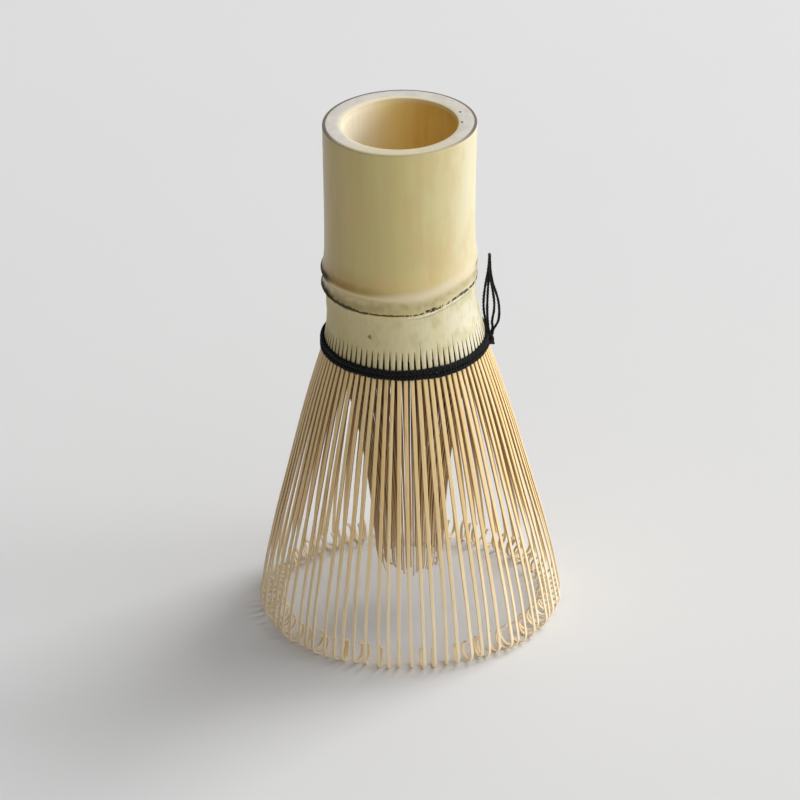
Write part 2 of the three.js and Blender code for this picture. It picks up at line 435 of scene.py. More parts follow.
# Mould spots on the node, a small mark on the collar, and two specks on the sawn end.
SPOTS = [
    {"at": on_culm(-72.4, NODE_Z - 1.25), "size": (0.75, 0.75, 0.42), "colour": "1d160e"},
    {"at": on_culm(-67.8, NODE_Z - 1.05), "size": (0.8, 0.8, 0.5), "colour": "221809"},
    {"at": on_culm(-62.0, NODE_Z - 0.7), "size": (0.45, 0.45, 0.25), "colour": "6a5838"},
    {"at": on_culm(-117.0, NODE_Z - 7.0, 14.7), "size": (0.6, 0.6, 0.65), "colour": "98844e"},
    {"at": on_culm(-117.4, NODE_Z - 7.1, 14.7), "size": (0.24, 0.24, 0.24), "colour": "66522a"},
]
RIM_SPOTS = [
    {"at": on_culm(19.3, TOP_Z, 12.4), "size": (0.32, 0.42, 0.5), "colour": "43372a"},
    {"at": on_culm(-2.6, TOP_Z, 12.0), "size": (0.3, 0.46, 0.5), "colour": "4d3f2c"},
]


def spot_mask(s, place, spot):
    """1 within a ragged spot and 0 outside it."""
    offset = s.node("ShaderNodeVectorMath", {0: place, 1: spot["at"]}, operation="SUBTRACT")
    size = [1 / length for length in spot["size"]]
    rough_edge = s.noise(place, 1.6, 2.0)
    away = s.node("ShaderNodeVectorMath", {0: s.scaled(offset, size)}, "Value", operation="LENGTH")
    return s.ramp(s.math("ADD", away, rough_edge), 0.9, 1.6, 1.0, 0.0)


def bamboo_cut():
    """The sawn end: pale wood with fibre ends, a dark line of skin and a cream inner edge."""
    s = Shader("bamboo_cut", Roughness=0.8)
    place = s.place()
    x, y, _ = s.split(place)
    flat = s.node("ShaderNodeCombineXYZ", {0: x, 1: y})
    radius = s.node("ShaderNodeVectorMath", {0: flat}, "Value", operation="LENGTH")
    cell_inputs = {"Vector": flat, "Scale": 2.6, "Randomness": 0.9}
    cells = s.node("ShaderNodeTexVoronoi", cell_inputs, "Distance")
    fibre_size = s.ramp(radius, BORE_R - 0.2, CULM_R, 0.1, 0.3)
    fibres = s.ramp(s.math("SUBTRACT", cells, fibre_size), -0.05, 0.06, 1.0, 0.0)
    cloud = s.noise(flat, 0.3, 3.0)
    colour = s.mix(s.ramp(cloud, 0.35, 0.65), srgb("d3cdc2"), srgb("dfd9d2"))
    colour = s.tint(colour, s.math("MULTIPLY", fibres, 0.22), "a3957e")
    colour = s.tint(colour, s.ramp(y, -14.0, -4.0, 0.75, 0.0), "dccfa4")
    uneven = s.math("ADD", radius, s.math("MULTIPLY", cloud, 0.25))
    edge = s.times(s.ramp(uneven, 14.42, 14.64), s.ramp(y, -14.0, -3.0, 0.3, 0.95))
    colour = s.tint(colour, edge, "6f6358")
    colour = s.tint(colour, s.ramp(radius, BORE_R + 0.2, BORE_R + 0.9, 0.8, 0.0), "efe3bf")
    for spot in RIM_SPOTS:
        colour = s.tint(colour, spot_mask(s, place, spot), spot["colour"])
    relief = s.math("SUBTRACT", cloud, s.math("MULTIPLY", fibres, 0.6))
    return s.finish(colour, None, relief, 0.05, 0.6)


def bamboo_bore():
    """The soft inside of the culm: golden, and cream at its mouth; the cream towards -X is painted
    light on the wall that the light from the right falls on.
    """
    s = Shader("bamboo_bore", Roughness=0.62)
    place = s.place()
    x, _, z = s.split(place)
    lines = s.noise(s.scaled(place, (1.4, 1.4, 0.06)), 1.0, 4.0, 0.6)
    cloud = s.noise(s.scaled(place, (0.2, 0.2, 0.12)), 1.0, 2.0)
    colour = s.mix(s.ramp(lines, 0.35, 0.75), srgb("dfb350"), srgb("d6a442"))
    colour = s.tint(colour, s.ramp(cloud, 0.35, 0.65, 0.0, 0.4), "e3c675")
    # painted light: the -X wall, which the light from the right reaches, is cream
    wander = s.math("ADD", x, s.math("MULTIPLY", cloud, 3.0))
    colour = s.tint(colour, s.ramp(wander, -2.0, 8.0, 1.0, 0.0), "f3d98e")
    colour = s.tint(colour, s.ramp(wander, -8.0, 2.5, 1.0, 0.0), "fdf6e0")
    colour = s.tint(colour, s.ramp(z, TOP_Z - 1.2, TOP_Z - 0.2, 0.0, 0.7), "eadcb2")
    return s.finish(colour, None, lines, 0.03)


def split_bamboo(name, light, dark, inner, deep, thread_shade=0.0):
    """A tine's wood: fibres along it, each tine its own tone, paler towards the tip.

    Painted shade: faces turned in to the axis take the inner colour, which the marks use too, and the
    deep colour near the thread, where the share thread_shade of the whole tine takes the deep colour as
    well.
    of the whole tine is deep too."""
    s = Shader(name, Roughness=0.48, IOR=1.45)
    grain = s.grain()
    fibres = s.noise(s.scaled(grain, (6.0, 6.0, 0.12)), 1.0, 3.0, 0.6)
    tone = s.noise(s.scaled(grain, (0.035, 0.035, 0.01)), 1.0, 1.0)
    marks = s.noise(s.scaled(grain, (0.5, 0.5, 0.1)), 1.0, 2.0)
    colour = s.mix(s.ramp(fibres, 0.3, 0.7), srgb(light), srgb(dark))
    colour = s.tint(colour, s.ramp(tone, 0.35, 0.65, 0.0, 0.45), dark)
    colour = s.tint(colour, s.ramp(marks, 0.6, 0.78, 0.0, 0.3), inner)

    nx, ny, _ = s.split(s.node("ShaderNodeNewGeometry", {}, "Normal"))
    x, y, z = s.split(s.place())
    colour = s.tint(colour, s.ramp(z, 3.0, 34.0, 0.6, 0.0), "fff1d2")
    # painted shade on faces turned in to the axis, stronger towards the thread, in the deep colour near
    # it
    outward = s.math("ADD", s.math("MULTIPLY", nx, x), s.math("MULTIPLY", ny, y))
    shade = s.times(s.ramp(outward, -4.0, 9.0, 1.0, 0.0), s.ramp(z, 5.0, 30.0, 0.12, 0.9))
    colour = s.mix(shade, colour, s.mix(s.ramp(z, 26.0, 50.0), srgb(inner), srgb(deep)))
    # painted shade over the whole tine near the thread, by the share thread_shade
    colour = s.tint(colour, s.ramp(z, 28.0, 52.0, 0.0, thread_shade), deep)
    return s.finish(colour, None, fibres)


def black_thread():
    """Dull black cotton, with a fine fuzz."""
    s = Shader("black_thread", Roughness=0.88, Specular_IOR_Level=0.25, Sheen_Weight=0.08)
    place = s.place()
    fuzz = s.noise(place, 9.0, 4.0, 0.7)
    colour = s.mix(s.ramp(fuzz, 0.35, 0.75), srgb("0a0a0c"), srgb("1a191d"))
    return s.finish(colour, None, fuzz, 0.06, 0.8)


def floor_paint():
    s = Shader("pale_floor", Roughness=0.85, Specular_IOR_Level=0.15)
    cloud = s.noise(s.place(), 0.01, 2.0)
    return s.finish(s.mix(cloud, srgb("e4e4e4"), srgb("e7e7e7")))


# Camera ----------------------------------------------------------------------------------------

def place_camera():
    """A long lens, in front and 27 degrees above the horizon, rolled a little."""
    elevation = math.radians(27.22)
    roll = math.radians(1.34)
    distance = 1667.5
    target = Vector((-1.22, 0, 44.75))
    back = Vector((0, -math.cos(elevation), math.sin(elevation)))
    camera = bpy.data.objects.new("camera", bpy.data.cameras.new("camera"))
    SCENE.collection.objects.link(camera)
    camera.data.sensor_width = 36
    camera.data.lens = 382.3
    camera.data.clip_start = 0.1
    camera.data.clip_end = 10
    place = Matrix.Translation((target + back * distance) * MM)
    aim = (-back).to_track_quat("-Z", "Y").to_matrix().to_4x4()
    camera.matrix_world = place @ aim @ Matrix.Rotation(-roll, 4, "Z")
    SCENE.camera = camera


# Thread ----------------------------------------------------------------------------------------

# The free loops' diameter, and the points that they follow from end to end.
LOOP_D = 0.55
LOOP_ROUTES = {
    "thread_loop_1": [
        (16.4, -0.7, 60.15), (16.3, -0.75, 61.3), (16.22, -0.75, 62.7), (16.2, -0.7, 64.3),
        (16.25, -0.65, 66.1), (16.35, -0.6, 68.0), (16.5, -0.55, 70.0), (16.65, -0.5, 72.0),
        (16.78, -0.47, 73.4), (16.83, -0.43, 74.5), (16.85, -0.1, 75.35), (16.85, 0.75, 75.7),
        (16.85, 1.6, 75.35), (16.82, 1.95, 74.5), (16.73, 1.95, 73.3), (16.55, 1.9, 71.8),
        (16.2, 1.85, 70.0), (15.9, 1.9, 68.2), (15.66, 1.95, 66.4), (15.54, 1.95, 64.7),
        (15.58, 1.75, 63.1), (15.8, 1.25, 61.6), (16.3, 0.4, 60.15),
    ],
    "thread_loop_2": [
        (17.2, 0.7, 60.15), (17.1, 0.2, 61.3), (17.25, -0.35, 62.7), (17.5, -0.75, 64.2),
        (17.6, -0.95, 65.8), (17.5, -1.05, 67.5), (17.25, -1.1, 69.4), (17.0, -1.15, 71.4),
        (16.9, -1.2, 73.4), (16.88, -1.22, 74.9), (16.88, -1.22, 75.98), (16.88, -1.57, 76.83),
        (16.88, -2.42, 77.18), (16.88, -3.27, 76.83), (16.88, -3.62, 75.98), (16.93, -3.6, 74.8),
        (17.05, -3.45, 73.4), (17.35, -3.15, 71.5), (17.85, -2.85, 69.6), (18.3, -2.6, 67.7),
        (18.5, -2.35, 65.9), (18.5, -1.95, 64.0), (18.25, -1.35, 62.2), (17.8, -0.7, 61.0),
        (17.4, -0.3, 60.15),
    ],
}


def side_frames(line):
    """Two unit vectors square to the line at each point, carried along it without twisting."""
    along = tangents(line)
    start = np.cross(along[0], [0.3, 1.0, 0.2])
    sides = [unit(start)]
    for direction in along[1:]:
        carried = sides[-1] - direction * np.dot(sides[-1], direction)
        sides.append(unit(carried))
    sides = np.array(sides)
    return sides, np.cross(along, sides)


def tube_rings(line, radius, sides):
    """Rings of points round a line."""
    a, b = side_frames(line)
    angle = np.linspace(0, 2 * math.pi, sides, endpoint=False)[None, :, None]
    return line[:, None] + radius * (np.cos(angle) * a[:, None] + np.sin(angle) * b[:, None])


PLIES = 3
ROPE_SIDES = 18


def rope_rings(line, a, b, diameter, rolled):
    """Rings whose section is three plies side by side, turned by rolled at each point.

    a and b are unit vectors square to the line and to each other."""
    ply_r = 0.28 * diameter
    offset = diameter / 2 - ply_r
    angle = np.linspace(0, 2 * math.pi, ROPE_SIDES, endpoint=False)[None, :]
    slice_angle = 2 * math.pi / PLIES
    from_ply = (angle - rolled[:, None] + slice_angle / 2) % slice_angle - slice_angle / 2
    radius = offset * np.cos(from_ply) + np.sqrt(ply_r**2 - (offset * np.sin(from_ply)) ** 2)
    sides = np.cos(angle)[..., None] * a[:, None] + np.sin(angle)[..., None] * b[:, None]
    return line[:, None] + radius[..., None] * sides


def rope(skin, line, diameter, seed, turn_length=2.2):
    """A twisted thread along an open line, a little uneven in its thickness."""
    a, b = side_frames(line)
    run = arc_lengths(line)
    uneven = 1 + 0.06 * ripple(run / 2.5, seed, (2, 5, 9))
    rings = rope_rings(line, a, b, diameter, 2 * math.pi * run / turn_length)
    skin.bar(line[:, None] + (rings - line[:, None]) * uneven[:, None, None])


def thread_loops(thread):
    """The two free loops over the knot, each a twisted thread."""
    for number, (name, route) in enumerate(LOOP_ROUTES.items()):
        line = smooth_line(route, 9)
        skin = Skin()
        rope(skin, line, LOOP_D, seed=number)
        loop = skin.piece(name + "_twist", [thread])
        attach(loop, "culm")
        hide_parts(name)


def add_wrap(skin, radius, z, diameter, twists, seed, dip=0.05, sag=0.0):
    """A turn of twisted thread round the whisk. It dips between tines and sags at the front."""
    angle = np.linspace(0, 2 * math.pi, TINES * 12, endpoint=False)
    r = radius + dip * np.cos(TINES * angle) + 0.05 * ripple(angle, seed, (5, 9, 14))
    height = z + 0.07 * ripple(angle, seed + 1, (2, 3, 7, 17)) + sag * np.sin(angle)
    outward = np.stack([np.cos(angle), np.sin(angle), 0 * angle], axis=1)
    up = np.broadcast_to([0.0, 0.0, 1.0], outward.shape)
    line = r[:, None] * outward + height[:, None] * up
    rings = rope_rings(line, outward, up, diameter, twists * angle)
    rows = [skin.add(points) for points in rings]
    for upper, lower in zip(rows, rows[1:] + rows[:1]):
        skin.band(upper, lower, closed=True)


def thread_band(thread):
    """The turns of thread round the roots: two outside the outer tines and two inside them."""
    outside = {"thread_wrap_upper": (15.98, 0.52), "thread_wrap_lower": (16.06, -0.55)}
    for number, (node, (radius, rise)) in enumerate(outside.items()):
        skin = Skin()
        add_wrap(skin, radius, THREAD_Z + rise, 1.2, 51, seed=20 + number, sag=0.22)
        wrap = skin.piece(node + "_twist", [thread])
        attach(wrap, "culm")
        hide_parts(node)

    skin = Skin()
    for rise, seed in ((1.35, 31), (0.45, 32)):
        add_wrap(skin, 14.5, THREAD_Z + rise, 0.85, 60, seed=seed, dip=0.0)
    for i in range(TINES):
        add_lacing(skin, (i + 0.5) * PITCH, seed=i)
    inside = skin.piece("thread_wrap_inner_twist", [thread])
    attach(inside, "culm")
    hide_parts("thread_wrap_inner")


def add_lacing(skin, angle, seed):
    """The short pass of thread in the gap between two tines, from the inner to the outer turns."""
    chance = random.Random(100 + seed)
    rise = chance.uniform(1.7, 2.5)
    steps = [(14.4, rise - 0.1), (14.85, rise), (15.2, rise - 0.55), (15.65, 0.75)]
    points = [(r * math.cos(angle), r * math.sin(angle), THREAD_Z + dz) for r, dz in steps]
    skin.bar(tube_rings(smooth_line(points, 3), radius=0.2, sides=6))


def thread_knot(thread):
    """A small knot of the same thread, its necks up to the loops, and its short cut end."""
    centre = np.array([16.85, 0.05, THREAD_Z - 0.35])
    t = np.linspace(0, 2 * math.pi, 91)
    trefoil = np.stack([
        -0.3 * np.sin(3 * t),
        0.38 * (np.sin(t) + 2 * np.sin(2 * t)),
        0.42 * (np.cos(t) - 2 * np.cos(2 * t)),
    ], axis=1)
    skin = Skin()
    rope(skin, centre + trefoil, 0.72, seed=51, turn_length=1.8)
    for route in LOOP_ROUTES.values():
        for end, beyond in ((route[0], route[1]), (route[-1], route[-2])):
            end, beyond = np.array(end), np.array(beyond)
            middle = end * 0.5 + centre * 0.5 + (end - beyond) * 0.2
            neck = smooth_line([end + 0.2 * (beyond - end), end, middle, centre], 6)
            rope(skin, neck, LOOP_D, seed=52)
    cut = smooth_line([centre + (0.1, 0.1, -0.3), centre + (0.3, 0.25, -1.0),
                       centre + (0.5, 0.35, -1.7)], 8)
    rope(skin, cut, LOOP_D, seed=53)
    knot = skin.piece("thread_knot_tied", [thread])
    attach(knot, "culm")
    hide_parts("thread_knot")


# Culm ------------------------------------------------------------------------------------------

# Height and radius of the culm's outside, from the sawn top to the tines' roots.
CULM_SIDE = smooth_line([
    (TOP_Z, 15.0), (100, 14.9), (94, 14.78), (86, 14.68), (80, 14.7), (77.2, 14.82),
    (75.6, 15.04), (NODE_Z + 1.9, 15.3), (NODE_Z + 1.2, 15.22), (NODE_Z + 0.4, 15.02),
    (NODE_Z - 0.4, 15.02), (NODE_Z - 1.1, 15.2), (NODE_Z - 1.6, 15.3), (NODE_Z - 2.0, 15.12),
    (NODE_Z - 2.35, 14.86), (NODE_Z - 3.4, 14.72), (67, 14.68), (65, 14.83), (63, 15.1),
    (61, 15.46), (59.5, 15.73), (THREAD_Z, 15.84),
], 6)[::-1]

# How far the culm leans to the left, by height.
CULM_LEAN = np.array([
    (THREAD_Z, 0.0), (62, 0.2), (66, 0.42), (70, 0.5), (78, 0.52), (84, 0.45), (88, 0.38),
    (95, 0.25), (TOP_Z, 0.0),
])

def culm_radius(z, angle):
    """The culm's outside radius: its two ridges wander, rise on the right and are low there."""
    share = np.clip((CULM_R * np.cos(angle) - RISE_FROM) / (RISE_TO - RISE_FROM), 0, 1)
    rise = NODE_RISE * share ** 2 * (3 - 2 * share)
    near_node = np.clip((9 - np.abs(z - NODE_Z)) / 4, 0, 1)
    wander = 0.09 * ripple(angle, 3, (1, 2, 3)) + 0.06 * ripple(angle, 4, (7, 11))
    moved = z + near_node * (wander - rise)
    radius = np.interp(moved, CULM_SIDE[:, 0], CULM_SIDE[:, 1])
    ridges = np.exp(-((moved - NODE_Z - 1.7) / 0.8) ** 2) + np.exp(-((moved - NODE_Z + 1.5) / 0.7) ** 2)
    taller = 0.24 * np.clip(-np.cos(angle), 0, 1) - 0.3 * np.clip(np.cos(angle), 0, 1)
    notch = 0.1 * np.exp(-((moved - NODE_Z) / 0.7) ** 2) * np.clip(-np.cos(angle), 0, 1)
    oval = 0.04 * np.cos(2 * angle + 0.6) + 0.02 * ripple(angle, 5, (3, 5, 8))
    lean = -np.interp(z, CULM_LEAN[:, 0], CULM_LEAN[:, 1]) * np.cos(angle)
    above_split = np.clip((z - 61) / 6, 0, 1)
    scar = np.exp(-((moved - (NODE_Z - 1.75)) / 0.16) ** 2)
    ragged = 0.07 * ripple(angle, 6, (23, 41, 67, 97)) + 0.04
    shaped = radius + ridges * taller - notch - scar * np.maximum(ragged, -0.06)
    return shaped + above_split * (oval + lean)


def bore_radius(z, angle):
    """The bore is a little off centre to the front, and flatter at the back left."""
    off_centre = -0.42 * np.sin(angle)
    flat = -0.3 * np.exp(-((angle - 2.3) / 0.5) ** 2)
    lines = 0.012 * ripple(angle, 8, (31, 47, 73))
    narrow = -0.24 * np.cos(angle) ** 2
    return BORE_R + off_centre + flat + narrow + lines + 0.1 * np.sin(z * 0.2)


# Columns of points for each outer tine: five across its root, and one across the inner root
# beside it.
ACROSS = 5
COLUMNS = ACROSS + 1


def column_angles():
    """Angles round the culm, finer across each outer root than across the inner ones."""
    outer = np.linspace(-OUTER_SHARE, OUTER_SHARE, ACROSS)
    angles = []
    for i in range(TINES):
        angles += [(i + share) * PITCH for share in (*outer, 0.5)]
    return np.array(angles)


def crotch_heights(angles):
    """Where each saw of the knife ends, with some long cracks, for every column."""
    chance = random.Random(12)
    heights = np.full(len(angles), CROTCH_Z)
    for i in range(TINES):
        first = COLUMNS * i
        last = first + ACROSS - 1
        for column in (first, last):
            deep = chance.random() < 0.12
            heights[column] += chance.uniform(0.8, 2.4) if deep else chance.uniform(-0.55, 0.35)
        heights[first:last + 1] = np.linspace(heights[first], heights[last], ACROSS)
    following = np.roll(heights, -1)
    previous = np.roll(heights, 1)
    middle = slice(ACROSS, None, COLUMNS)
    heights[middle] = (previous[middle] + following[middle]) / 2
    return heights


def ring(radius, z, angles):
    """Points at those angles round the axis. radius and z are one number or one for each."""
    radius = np.broadcast_to(radius, len(angles))
    z = np.broadcast_to(z, len(angles))
    return np.stack([radius * np.cos(angles), radius * np.sin(angles), z], axis=1)


# Material slots, in the order that culm() is given them.
SKIN, CUT, BORE, SPLIT = range(4)

# Below this height the rows of points follow the ends of the splits, and above it they are level.
LEVEL_Z = 69


def culm(materials):
    """The culm in one mesh: handle, node, septum, collar and the roots that it is split into."""
    skin = Skin()
    angles = column_angles()
    crotch = crotch_heights(angles)

    # the outside, from the splits up, with the most rows at the node
    edge_z = TOP_Z - 0.45
    levels = np.concatenate([
        np.arange(64.6, LEVEL_Z, 0.5), np.arange(LEVEL_Z, 74.8, 0.13), np.arange(74.8, 78.9, 0.35),
        np.arange(79, TOP_Z - 1, 2.0), [TOP_Z - 0.9, edge_z],
    ])
    rows = [skin.add(ring(culm_radius(crotch, angles), crotch, angles))]
    for level in levels:
        lift = (crotch - CROTCH_Z) * np.clip((LEVEL_Z - level) / (LEVEL_Z - CROTCH_Z), 0, 1)
        rows.append(skin.add(ring(culm_radius(level + lift, angles), level + lift, angles)))
    for upper, lower in zip(rows, rows[1:]):
        skin.band(upper, lower, SKIN, closed=True)

    # the sawn end, and the bore down to the septum
    top = culm_radius(edge_z, angles)
    bore = bore_radius(TOP_Z, angles)
    rim = [
        (top - 0.02, TOP_Z - 0.14, SKIN), (top - 0.08, TOP_Z - 0.03, CUT), (top - 0.2, TOP_Z, CUT),
        (top * 0.7 + bore * 0.3, TOP_Z, CUT), (top * 0.35 + bore * 0.65, TOP_Z, CUT),
        (bore + 0.3, TOP_Z, CUT), (bore + 0.12, TOP_Z - 0.08, CUT), (bore, TOP_Z - 0.35, BORE),
    ]
    last = rows[-1]
    for radius, z, slot in rim:
        row = skin.add(ring(radius, z, angles))
        skin.band(last, row, slot, closed=True)
        last = row
    for z in np.arange(TOP_Z - 2, SEPTUM_Z + 2, -2.0):
        row = skin.add(ring(bore_radius(z, angles), z, angles))
        skin.band(last, row, BORE, closed=True)
        last = row
    close_cup(skin, last, angles, [
        (10.9, SEPTUM_Z + 0.7), (10.0, SEPTUM_Z + 0.25), (7, SEPTUM_Z), (3, SEPTUM_Z + 0.2),
    ])

    # the hollow inside the collar, up to the septum's underside
    inside = skin.add(ring(culm_radius(crotch, angles) - 1.15, crotch, angles))
    last = inside
    for radius, z in [(13.6, 65.9), (13.2, 66.5), (12.2, 66.9), (11.9, 67.6), (11.8, 69.5)]:
        row = skin.add(ring(radius, z, angles))
        skin.band(last, row, BORE, closed=True)
        last = row
    close_cup(skin, last, angles, [(11.2, 70.8), (9, 71.3), (4, 71.5)])

    for i in range(TINES):
        columns = [(COLUMNS * i + k) % len(angles) for k in range(ACROSS)]
        add_root(skin, rows[0], inside, columns, i * PITCH, outer=True)
        columns = [(COLUMNS * i + k) % len(angles) for k in (ACROSS - 1, ACROSS, ACROSS + 1)]
        add_root(skin, rows[0], inside, columns, (i + 0.5) * PITCH, outer=False)
    return skin.piece("culm_split", materials)


def close_cup(skin, last, angles, rings_in):
    """Closes a hollow from its last row, with rings towards the axis and a point on it."""
    for radius, z in rings_in:
        row = skin.add(ring(radius, z, angles))
        skin.band(last, row, BORE, closed=True)
        last = row
    centre = skin.add([(0, 0, rings_in[-1][1])])[0]
    for i in range(len(last)):
        skin.face((last[i], last[(i + 1) % len(last)], centre), BORE)


# A root strip below the crotch: height, half width, radius of its outside below the culm's own
# side, and its thickness.
OUTER_ROOT = [
    (62.5, 0.53, 0.0, 1.0), (61.9, 0.5, 0.0, 0.88), (61.3, 0.465, 0.0, 0.78),
    (60.6, 0.43, 0.0, 0.7), (59.8, 0.405, 0.0, 0.66), (THREAD_Z, 0.39, 0.0, 0.64),
]
INNER_ROOT = [
    (62.5, 0.05, 0.1, 0.9), (61.9, 0.08, 0.3, 0.75), (61.3, 0.12, 0.65, 0.6),
    (60.6, 0.16, 1.1, 0.48), (59.8, 0.19, 1.55, 0.42), (THREAD_Z, 0.2, 1.98, 0.42),
]


def add_root(skin, crotch_out, crotch_in, columns, angle, outer):
    """One strip from the crotch down to the thread, joined to the culm at the crotch."""
    upper_out = [crotch_out[c] for c in columns]
    upper_in = [crotch_in[c] for c in columns]
    shares = np.linspace(-1, 1, len(columns))
    for z, half, drop, thickness in OUTER_ROOT if outer else INNER_ROOT:
        own = culm_radius(np.array([z]), np.array([angle]))[0] - drop
        turn = angle + shares * half / own
        rounded = own - 0.07 * np.abs(shares) ** 3
        lower_out = skin.add(ring(rounded, z, turn))
        lower_in = skin.add(ring(own - thickness, z, turn))
        skin.band(upper_out, lower_out, SKIN if outer else SPLIT)
        skin.band(upper_in, lower_in, SPLIT)
        skin.face((upper_out[0], upper_in[0], lower_in[0], lower_out[0]), SPLIT)
        skin.face((upper_out[-1], upper_in[-1], lower_in[-1], lower_out[-1]), SPLIT)
        upper_out, upper_in = lower_out, lower_in
    skin.face([*upper_out, *upper_in[::-1]], SPLIT)


# Tines -----------------------------------------------------------------------------------------

# The corners of a tine's section, as shares of its half width and half thickness.
SECTION = np.array([
    (0.74, 1), (1, 0.62), (1, -0.7), (0.82, -1), (-0.82, -1), (-1, -0.7), (-1, 0.62), (-0.74, 1),
])


def tine_rings(line, angle, half_width, half_thick, turned_by):
    """Rings of a tine's section along its line; turned_by twists it about its own line."""
    along = tangents(line)
    tangential = np.array([-math.sin(angle), math.cos(angle), 0.0])
    outward = np.array([math.cos(angle), math.sin(angle), 0.0])
    wide = np.cos(turned_by)[:, None] * tangential + np.sin(turned_by)[:, None] * outward
    wide = unit(wide - along * np.sum(wide * along, axis=1, keepdims=True))
    thick = np.cross(along, wide)
    corners = (half_width[:, None, None] * SECTION[None, :, :1] * wide[:, None]
               + half_thick[:, None, None] * SECTION[None, :, 1:] * thick[:, None])
    return line[:, None] + corners


def tine_grain(line, half_width, half_thick, chance):
    """Place within the wood: across, through and along the tine, far from any other tine's."""
    start = np.array([chance.uniform(0, 400) for _ in range(3)])
    n, m = len(line), len(SECTION)
    grain = np.zeros((n, m, 3))
    grain[:, :, 0] = half_width[:, None] * SECTION[None, :, 0]
    grain[:, :, 1] = half_thick[:, None] * SECTION[None, :, 1]
    grain[:, :, 2] = arc_lengths(line)[:, None]
    return grain + start


def to_world(radial, sideways, z, angle):
    """Points from distances out from the axis, sideways along the circle, and up."""
    c, s = math.cos(angle), math.sin(angle)
    return np.stack([radial * c - sideways * s, radial * s + sideways * c, z], axis=-1)


# Height and distance from the axis of a tine's middle line. An outer tine's ends where it curls.
OUTER_LINE = np.array([
    (THREAD_Z - 0.02, 15.5), (56.6, 15.98), (54, 16.84), (48, 18.72), (41, 20.74), (34, 22.6),
    (27, 24.45), (20, 26.3), (14, 27.75), (9.5, 28.7), (6.2, 29.25),
])
INNER_LINE = np.array([
    (THREAD_Z - 0.02, 13.63), (56.5, 13.4), (53, 12.65), (48, 11.35), (41, 9.75), (34, 8.5),
    (27, 7.6), (20, 6.9), (14, 6.45), (10, 6.1),
])


def add_outer_tine(skin, number, at_comb_edge):
    """A springy strip, twisted a little, whose thin end is curled in to the axis."""
    chance = random.Random(1000 + number)
    angle = number * PITCH
    reach = 0.3 if at_comb_edge else 0.45
    lean = chance.uniform(-reach, reach)
    bow = chance.uniform(-0.2, 0.2)
    turn = math.radians(max(-16, min(16, chance.gauss(0, 7))))
    curl_r = chance.uniform(2.0, 2.36)
    slack = chance.uniform(0.0, 0.55)
    lift = chance.uniform(0.0, 0.35)
    width = chance.uniform(0.86, 1.12)

    # from the thread down, each tine a little slacker, leaning or bowed
    z, r = OUTER_LINE.T
    down = (THREAD_Z - z) / THREAD_Z
    r = r - slack * down ** 2
    sideways = lean * down ** 1.3 + bow * np.sin(math.pi * down)

    # the curl, wound tighter towards its end and turned to one side
    centre_r = SPREAD_R - 0.14 - slack - curl_r
    centre_z = curl_r + 0.13 + lift
    curl = np.radians(np.arange(4, -chance.uniform(250, 285), -17.0))
    wound = np.clip((-curl - 2.0) / 3.0, 0, 1)
    curl_radius = curl_r * (1 - 0.2 * wound)
    curl_out = centre_r + curl_radius * np.cos(curl)
    curl_z = centre_z + curl_radius * np.sin(curl)
    start_r = curl_out[0]
    inwards = curl_out - start_r
    radial = np.concatenate([r, start_r + inwards * math.cos(turn)])
    sideways = np.concatenate([sideways, lean + inwards * math.sin(turn)])
    z = np.concatenate([z, curl_z])
    line = smooth_line(to_world(radial, sideways, z, angle), 3)

    run = arc_lengths(line)
    share = run / run[-1]
    half_width = width * np.interp(share, [0, 0.3, 0.75, 1], [0.4, 0.39, 0.33, 0.27])
    half_thick = np.interp(share, [0, 0.12, 0.4, 0.75, 1], [0.32, 0.29, 0.21, 0.14, 0.11])
    turned_by = -turn * np.clip(share / 0.75, 0, 1) ** 1.5
    rings = tine_rings(line, angle, half_width, half_thick, turned_by)
    skin.bar(rings, tine_grain(line, half_width, half_thick, chance))


def add_inner_tine(skin, number):
    """A finer strip, pressed in by the thread, that leans in to the bundle round the axis."""
    chance = random.Random(5000 + number)
    angle = (number + 0.5) * PITCH
    lean = chance.uniform(-0.14, 0.14)
    out = chance.uniform(-0.45, 0.35)
    end = chance.uniform(0.0, 2.2)
    hook = chance.uniform(0.2, 0.9)
    z, r = INNER_LINE.T
    down = (THREAD_Z - z) / THREAD_Z
    z = np.concatenate([z + end * down ** 3, [8.4 + end]])
    r = np.concatenate([r + out * down, [INNER_LINE[-1, 1] + out - hook]])
    down = np.append(down, 1)
    line = smooth_line(to_world(r, lean * down, z, angle), 3)
    share = arc_lengths(line) / arc_lengths(line)[-1]
    half_width = np.interp(share, [0, 0.3, 0.6, 1], [0.3, 0.26, 0.19, 0.12])
    half_thick = np.interp(share, [0, 0.3, 1], [0.2, 0.16, 0.09])
    turned_by = math.radians(chance.uniform(-12, 12)) * share
    rings = tine_rings(line, angle, half_width, half_thick, turned_by)
    skin.bar(rings, tine_grain(line, half_width, half_thick, chance))


def comb(name, node, material, add_tines):
    """A comb of tines in one mesh; the part that it stands in for is hidden."""
    skin = Skin()
    add_tines(skin)
    made = skin.piece(name, [material], sharp_degrees=30)
    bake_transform(made)
    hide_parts(node)


def sector_tines(sector):
    """Numbers of the sector's tines, and whether each is at the edge of its comb."""
    half = TINES_PER_SECTOR // 2
    return [(sector * TINES_PER_SECTOR + k, abs(k) == half) for k in range(-half, half + 1)]


def outer_combs(material):
    for sector in range(SECTORS):
        number = f"{sector + 1:02d}"

        def add_tines(skin, sector=sector):
            for tine, at_edge in sector_tines(sector):
                add_outer_tine(skin, tine % TINES, at_edge)

        comb(f"outer_comb_{number}_tines", f"outer_tines_{number}",
             material, add_tines)


def inner_combs(material):
    for sector in range(SECTORS):
        number = f"{sector + 1:02d}"

        def add_tines(skin, sector=sector):
            for tine, _ in sector_tines(sector):
                add_inner_tine(skin, tine % TINES)

        comb(f"inner_comb_{number}_tines", f"inner_tines_{number}",
             material, add_tines)


# Floor and light -------------------------------------------------------------------------------

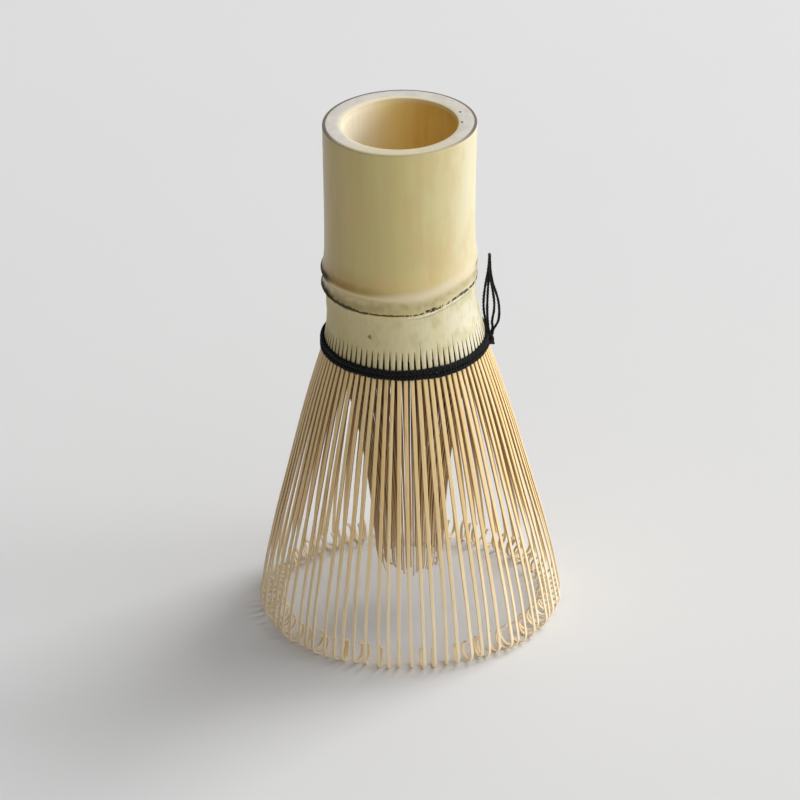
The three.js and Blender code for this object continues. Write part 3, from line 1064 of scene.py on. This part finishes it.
def lay_floor():
    size = 3.0
    mesh = bpy.data.meshes.new("floor")
    corners = [(-size, -size, 0), (size, -size, 0), (size, size, 0), (-size, size, 0)]
    mesh.from_pydata(corners, [], [(0, 1, 2, 3)])
    mesh.materials.append(floor_paint())
    floor = bpy.data.objects.new("floor", mesh)
    SCENE.collection.objects.link(floor)


def area_light(name, azimuth, elevation, distance, size, watts):
    """A square soft light that faces the whisk from a direction round it, in degrees."""
    a, e = math.radians(azimuth), math.radians(elevation)
    away = Vector((math.cos(a) * math.cos(e), math.sin(a) * math.cos(e), math.sin(e)))
    light = bpy.data.lights.new(name, "AREA")
    light.size = size
    light.energy = watts
    lamp = bpy.data.objects.new(name, light)
    middle = Vector((0, 0, 0.05))
    lamp.location = away * distance + middle
    lamp.rotation_euler = away.to_track_quat("Z", "Y").to_euler()
    SCENE.collection.objects.link(lamp)


def light_scene():
    """A window behind to the right, one at the right, and a room that is dim on the left."""
    world = bpy.data.worlds.new("studio")
    world.use_nodes = True
    tree = world.node_tree
    direction = tree.nodes.new("ShaderNodeTexCoord").outputs["Generated"]
    split = tree.nodes.new("ShaderNodeSeparateXYZ")
    tree.links.new(direction, split.inputs[0])
    ramp = tree.nodes.new("ShaderNodeMapRange")
    ramp.interpolation_type = "SMOOTHSTEP"
    for name, value in {"From Min": -0.75, "From Max": 0.95, "To Min": 0.07, "To Max": 0.95}.items():
        ramp.inputs[name].default_value = value
    tree.links.new(split.outputs[0], ramp.inputs["Value"])
    background = tree.nodes["Background"]
    background.inputs["Color"].default_value = (1.0, 1.0, 1.0, 1)
    tree.links.new(ramp.outputs[0], background.inputs["Strength"])
    SCENE.world = world
    area_light("window", azimuth=38, elevation=42, distance=2.5, size=1.25, watts=37)
    area_light("side_window", azimuth=-8, elevation=17, distance=2.0, size=0.9, watts=11)
    SCENE.view_settings.view_transform = "Standard"


# The whisk -------------------------------------------------------------------------------------

place_camera()
thread = black_thread()
thread_loops(thread)

# inner and deep are painted shade colours for faces turned in to the axis and near the thread; inner
# also colours the marks.
tine_wood = split_bamboo("tine_wood", light="ffe6b0", dark="f6cf8c", inner="8a5a24", deep="5a3008")
# The inner tines' wood is darker than the outer tines' as painted shade, and darker still near the
# thread.
shaded_inner_wood = split_bamboo(
    "shaded_inner_tine_wood", light="d9b676", dark="b78b4b", inner="7a5022", deep="502a06", thread_shade=0.7)
# root_wood's inner and deep colours are painted shade in the slits above the thread.
root_wood = split_bamboo("root_wood", light="dcc088", dark="b9955a", inner="6f4a20", deep="4a2a0a")
whole_culm = culm([bamboo_skin(), bamboo_cut(), bamboo_bore(), root_wood])
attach(whole_culm, "culm")
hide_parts("culm_handle")

thread_band(thread)
thread_knot(thread)
outer_combs(tine_wood)
inner_combs(shaded_inner_wood)
lay_floor()
light_scene()
